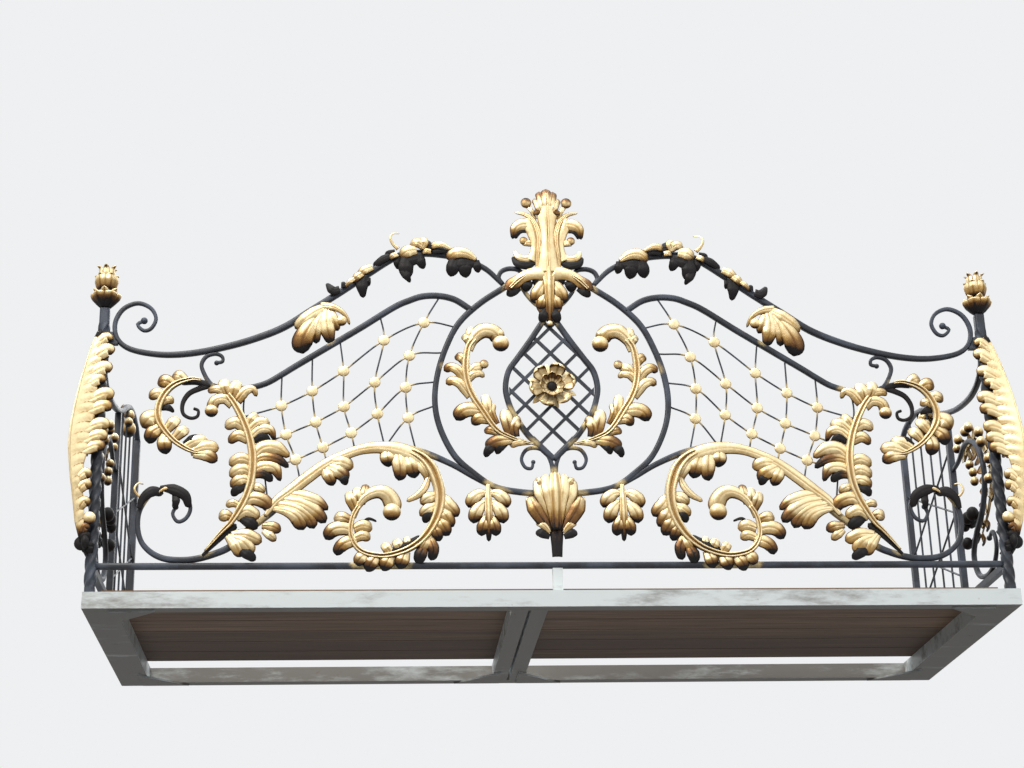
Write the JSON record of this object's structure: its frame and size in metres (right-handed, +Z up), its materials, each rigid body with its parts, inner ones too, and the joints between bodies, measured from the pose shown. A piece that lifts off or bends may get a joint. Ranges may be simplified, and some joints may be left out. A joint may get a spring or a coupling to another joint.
{
  "type": "wrought iron balcony",
  "caption": "Shallow balcony with a gilded acanthus scrollwork railing on a welded steel platform with a board deck.",
  "frame": {"origin": "on the wall plane, at mid height of the platform frame and half way along it", "axes": "+Y into the wall, +X along the wall, +Z up"},
  "size_m": [2.946, 1.083, 1.406],
  "materials": {
    "painted_steel": "matt primer",
    "deck_wood": "weathered oiled boards",
    "black_iron": "satin black paint",
    "gold_leaf": "aged gilding"
  },
  "bodies": {
    "root": {"arch_leaves": "gold_leaf", "base_curls": "black_iron", "bottom_rail": "black_iron", "calyx_leaf": "gold_leaf", "centre_strut": "painted_steel", "crest_leaf": "gold_leaf", "crest_yoke": "black_iron", "deck_boards": "deck_wood", "drop_leaves": "gold_leaf", "finials": "gold_leaf", "foot_leaves": "gold_leaf", "front_beam": "painted_steel", "front_gussets": "painted_steel", "hook_leaves": "gold_leaf", "inner_stiles": "black_iron", "left_end_beam": "painted_steel", "left_post": "black_iron", "left_post_leaf": "gold_leaf", "lower_scrolls": "black_iron", "medallion_leaves": "gold_leaf", "medallion_ring": "black_iron", "middle_beams": "painted_steel", "nets": "black_iron", "pointed_frame": "black_iron", "pointed_lattice": "black_iron", "rail_clamps": "black_iron", "rail_leaves": "gold_leaf", "rear_beam": "painted_steel", "right_end_beam": "painted_steel", "right_post": "black_iron", "right_post_leaf": "gold_leaf", "rosette": "gold_leaf", "scroll_leaves": "gold_leaf", "shoulder_rails": "black_iron", "side_bottom_rails": "black_iron", "side_handrails": "black_iron", "side_leaves": "gold_leaf", "side_nets": "black_iron", "side_scrolls": "black_iron", "tall_leaves": "gold_leaf", "top_leaves": "gold_leaf", "top_rails": "black_iron", "wall_gussets": "painted_steel", "wall_stiles": "black_iron"}
  },
  "joints": []
}
